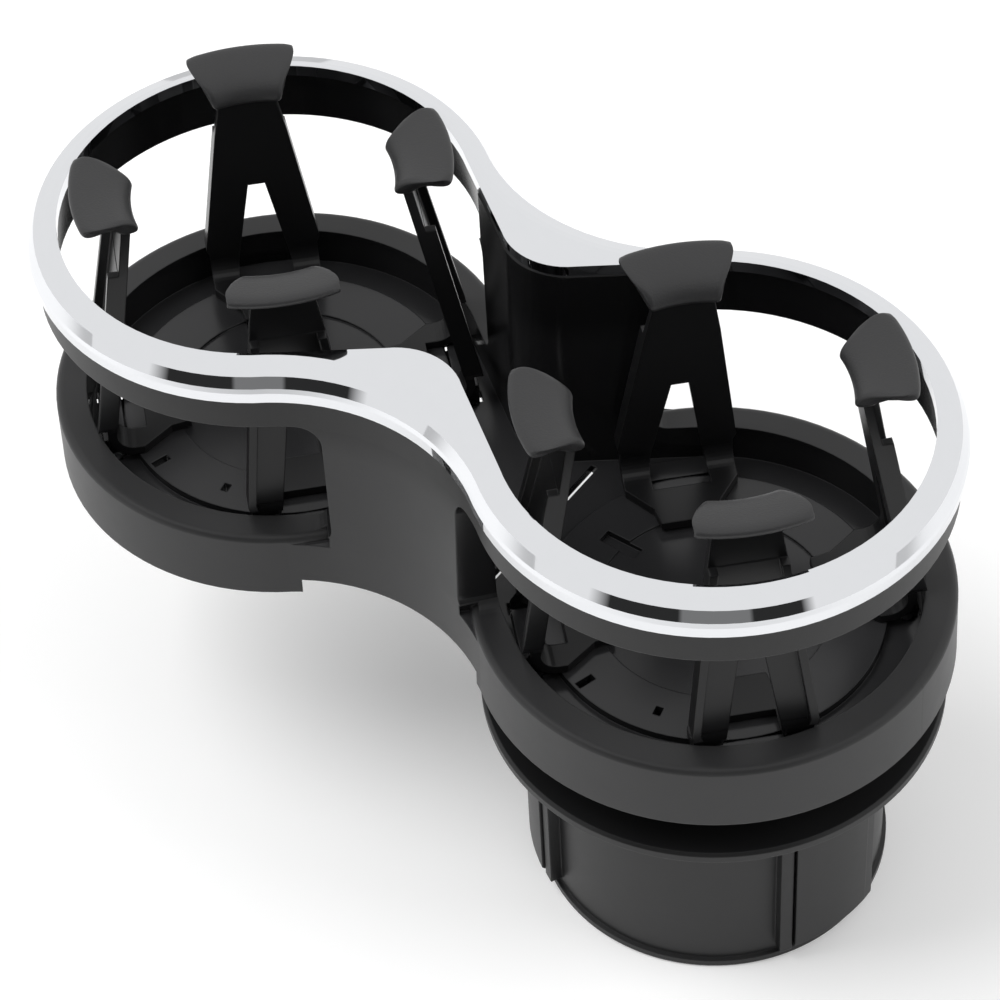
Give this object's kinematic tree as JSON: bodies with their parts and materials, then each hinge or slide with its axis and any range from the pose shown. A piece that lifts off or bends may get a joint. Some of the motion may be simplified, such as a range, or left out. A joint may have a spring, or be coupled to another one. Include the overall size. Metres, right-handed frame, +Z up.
{
  "type": "car cup holder",
  "caption": "Twin drink holder with sprung padded gripping arms and a chrome trim ring, on an expanding plug that fits a vehicle's cup well.",
  "frame": {"origin": "centre of the plug's bottom, on the axis of the cup above it", "axes": "+Z up along the plug's axis, -X towards the second cup"},
  "size_m": [0.1946, 0.0926, 0.13],
  "materials": {
    "body_black": "moulded black ABS, satin outside and glossy inside",
    "ring_chrome": "chrome plated plastic trim, mirror",
    "arm_black": "moulded black plastic, smooth",
    "pad_rubber": "soft rubber, fine grain",
    "plug_black": "moulded black plastic, satin",
    "inner_black": "moulded black plastic",
    "zinc_steel": "zinc plated steel"
  },
  "bodies": {
    "plug": {"plug_core": "plug_black"},
    "holder": {"holder_body": "body_black", "trim_ring": "ring_chrome", "hinge_pins": "zinc_steel", "side_cover": "inner_black", "side_cover_screws": "zinc_steel", "swivel_hub": "inner_black", "hub_screws": "zinc_steel", "spindle_washer": "zinc_steel", "spindle_screw": "zinc_steel", "spring_main_1": "zinc_steel", "spring_main_2": "zinc_steel", "spring_main_3": "zinc_steel", "spring_main_4": "zinc_steel", "spring_side_1": "zinc_steel", "spring_side_2": "zinc_steel", "spring_side_3": "zinc_steel", "spring_side_4": "zinc_steel"},
    "wheel": {"hand_wheel": "plug_black", "scroll_plate": "inner_black"},
    "shoe_1": {"shoe_1": "plug_black"},
    "shoe_2": {"shoe_2": "plug_black"},
    "shoe_3": {"shoe_3": "plug_black"},
    "arm_main_1": {"arm_main_1": "arm_black", "pad_main_1": "pad_rubber"},
    "arm_main_2": {"arm_main_2": "arm_black", "pad_main_2": "pad_rubber"},
    "arm_main_3": {"arm_main_3": "arm_black", "pad_main_3": "pad_rubber"},
    "arm_main_4": {"arm_main_4": "arm_black", "pad_main_4": "pad_rubber"},
    "arm_side_1": {"arm_side_1": "arm_black", "pad_side_1": "pad_rubber"},
    "arm_side_2": {"arm_side_2": "arm_black", "pad_side_2": "pad_rubber"},
    "arm_side_3": {"arm_side_3": "arm_black", "pad_side_3": "pad_rubber"},
    "arm_side_4": {"arm_side_4": "arm_black", "pad_side_4": "pad_rubber"}
  },
  "joints": [
    {"name": "holder_swivel", "type": "hinge", "parent": "plug", "child": "holder", "pos_m": [0, 0, 0.0499], "axis": [0, 0, 1], "continuous": true},
    {"name": "wheel_turn", "type": "hinge", "parent": "plug", "child": "wheel", "pos_m": [0, 0, 0.0476], "axis": [0, 0, 1], "range_deg": [0, 60]},
    {"name": "shoe_slide_1", "type": "slide", "parent": "plug", "child": "shoe_1", "axis": [0.9563, -0.2924, 0], "range_m": [0, 0.00242]},
    {"name": "shoe_slide_2", "type": "slide", "parent": "plug", "child": "shoe_2", "axis": [-0.225, 0.9744, 0], "range_m": [0, 0.00242]},
    {"name": "shoe_slide_3", "type": "slide", "parent": "plug", "child": "shoe_3", "axis": [-0.7314, -0.682, 0], "range_m": [0, 0.00242]},
    {"name": "arm_main_1_open", "type": "hinge", "parent": "holder", "child": "arm_main_1", "pos_m": [0.02517, 0.02517, 0.067], "axis": [-0.7071, 0.7071, 0], "range_deg": [0, 9.5], "stiffness_Nm_per_rad": 0.12, "springref_deg": -20.05},
    {"name": "arm_main_2_open", "type": "hinge", "parent": "holder", "child": "arm_main_2", "pos_m": [-0.02517, 0.02517, 0.067], "axis": [-0.7071, -0.7071, 0], "range_deg": [0, 9.5], "stiffness_Nm_per_rad": 0.12, "springref_deg": -20.05},
    {"name": "arm_main_3_open", "type": "hinge", "parent": "holder", "child": "arm_main_3", "pos_m": [-0.02517, -0.02517, 0.067], "axis": [0.7071, -0.7071, 0], "range_deg": [0, 9.5], "stiffness_Nm_per_rad": 0.12, "springref_deg": -20.05},
    {"name": "arm_main_4_open", "type": "hinge", "parent": "holder", "child": "arm_main_4", "pos_m": [0.02517, -0.02517, 0.067], "axis": [0.7071, 0.7071, 0], "range_deg": [0, 9.5], "stiffness_Nm_per_rad": 0.12, "springref_deg": -20.05},
    {"name": "arm_side_1_open", "type": "hinge", "parent": "holder", "child": "arm_side_1", "pos_m": [-0.07683, 0.02517, 0.067], "axis": [-0.7071, 0.7071, 0], "range_deg": [0, 9.5], "stiffness_Nm_per_rad": 0.12, "springref_deg": -20.05},
    {"name": "arm_side_2_open", "type": "hinge", "parent": "holder", "child": "arm_side_2", "pos_m": [-0.12717, 0.02517, 0.067], "axis": [-0.7071, -0.7071, 0], "range_deg": [0, 9.5], "stiffness_Nm_per_rad": 0.12, "springref_deg": -20.05},
    {"name": "arm_side_3_open", "type": "hinge", "parent": "holder", "child": "arm_side_3", "pos_m": [-0.12717, -0.02517, 0.067], "axis": [0.7071, -0.7071, 0], "range_deg": [0, 9.5], "stiffness_Nm_per_rad": 0.12, "springref_deg": -20.05},
    {"name": "arm_side_4_open", "type": "hinge", "parent": "holder", "child": "arm_side_4", "pos_m": [-0.07683, -0.02517, 0.067], "axis": [0.7071, 0.7071, 0], "range_deg": [0, 9.5], "stiffness_Nm_per_rad": 0.12, "springref_deg": -20.05}
  ],
  "couplings": [
    {"joint": "shoe_slide_1", "follows": "wheel_turn", "m_per_rad": 0.0023},
    {"joint": "shoe_slide_2", "follows": "wheel_turn", "m_per_rad": 0.0023},
    {"joint": "shoe_slide_3", "follows": "wheel_turn", "m_per_rad": 0.0023}
  ]
}
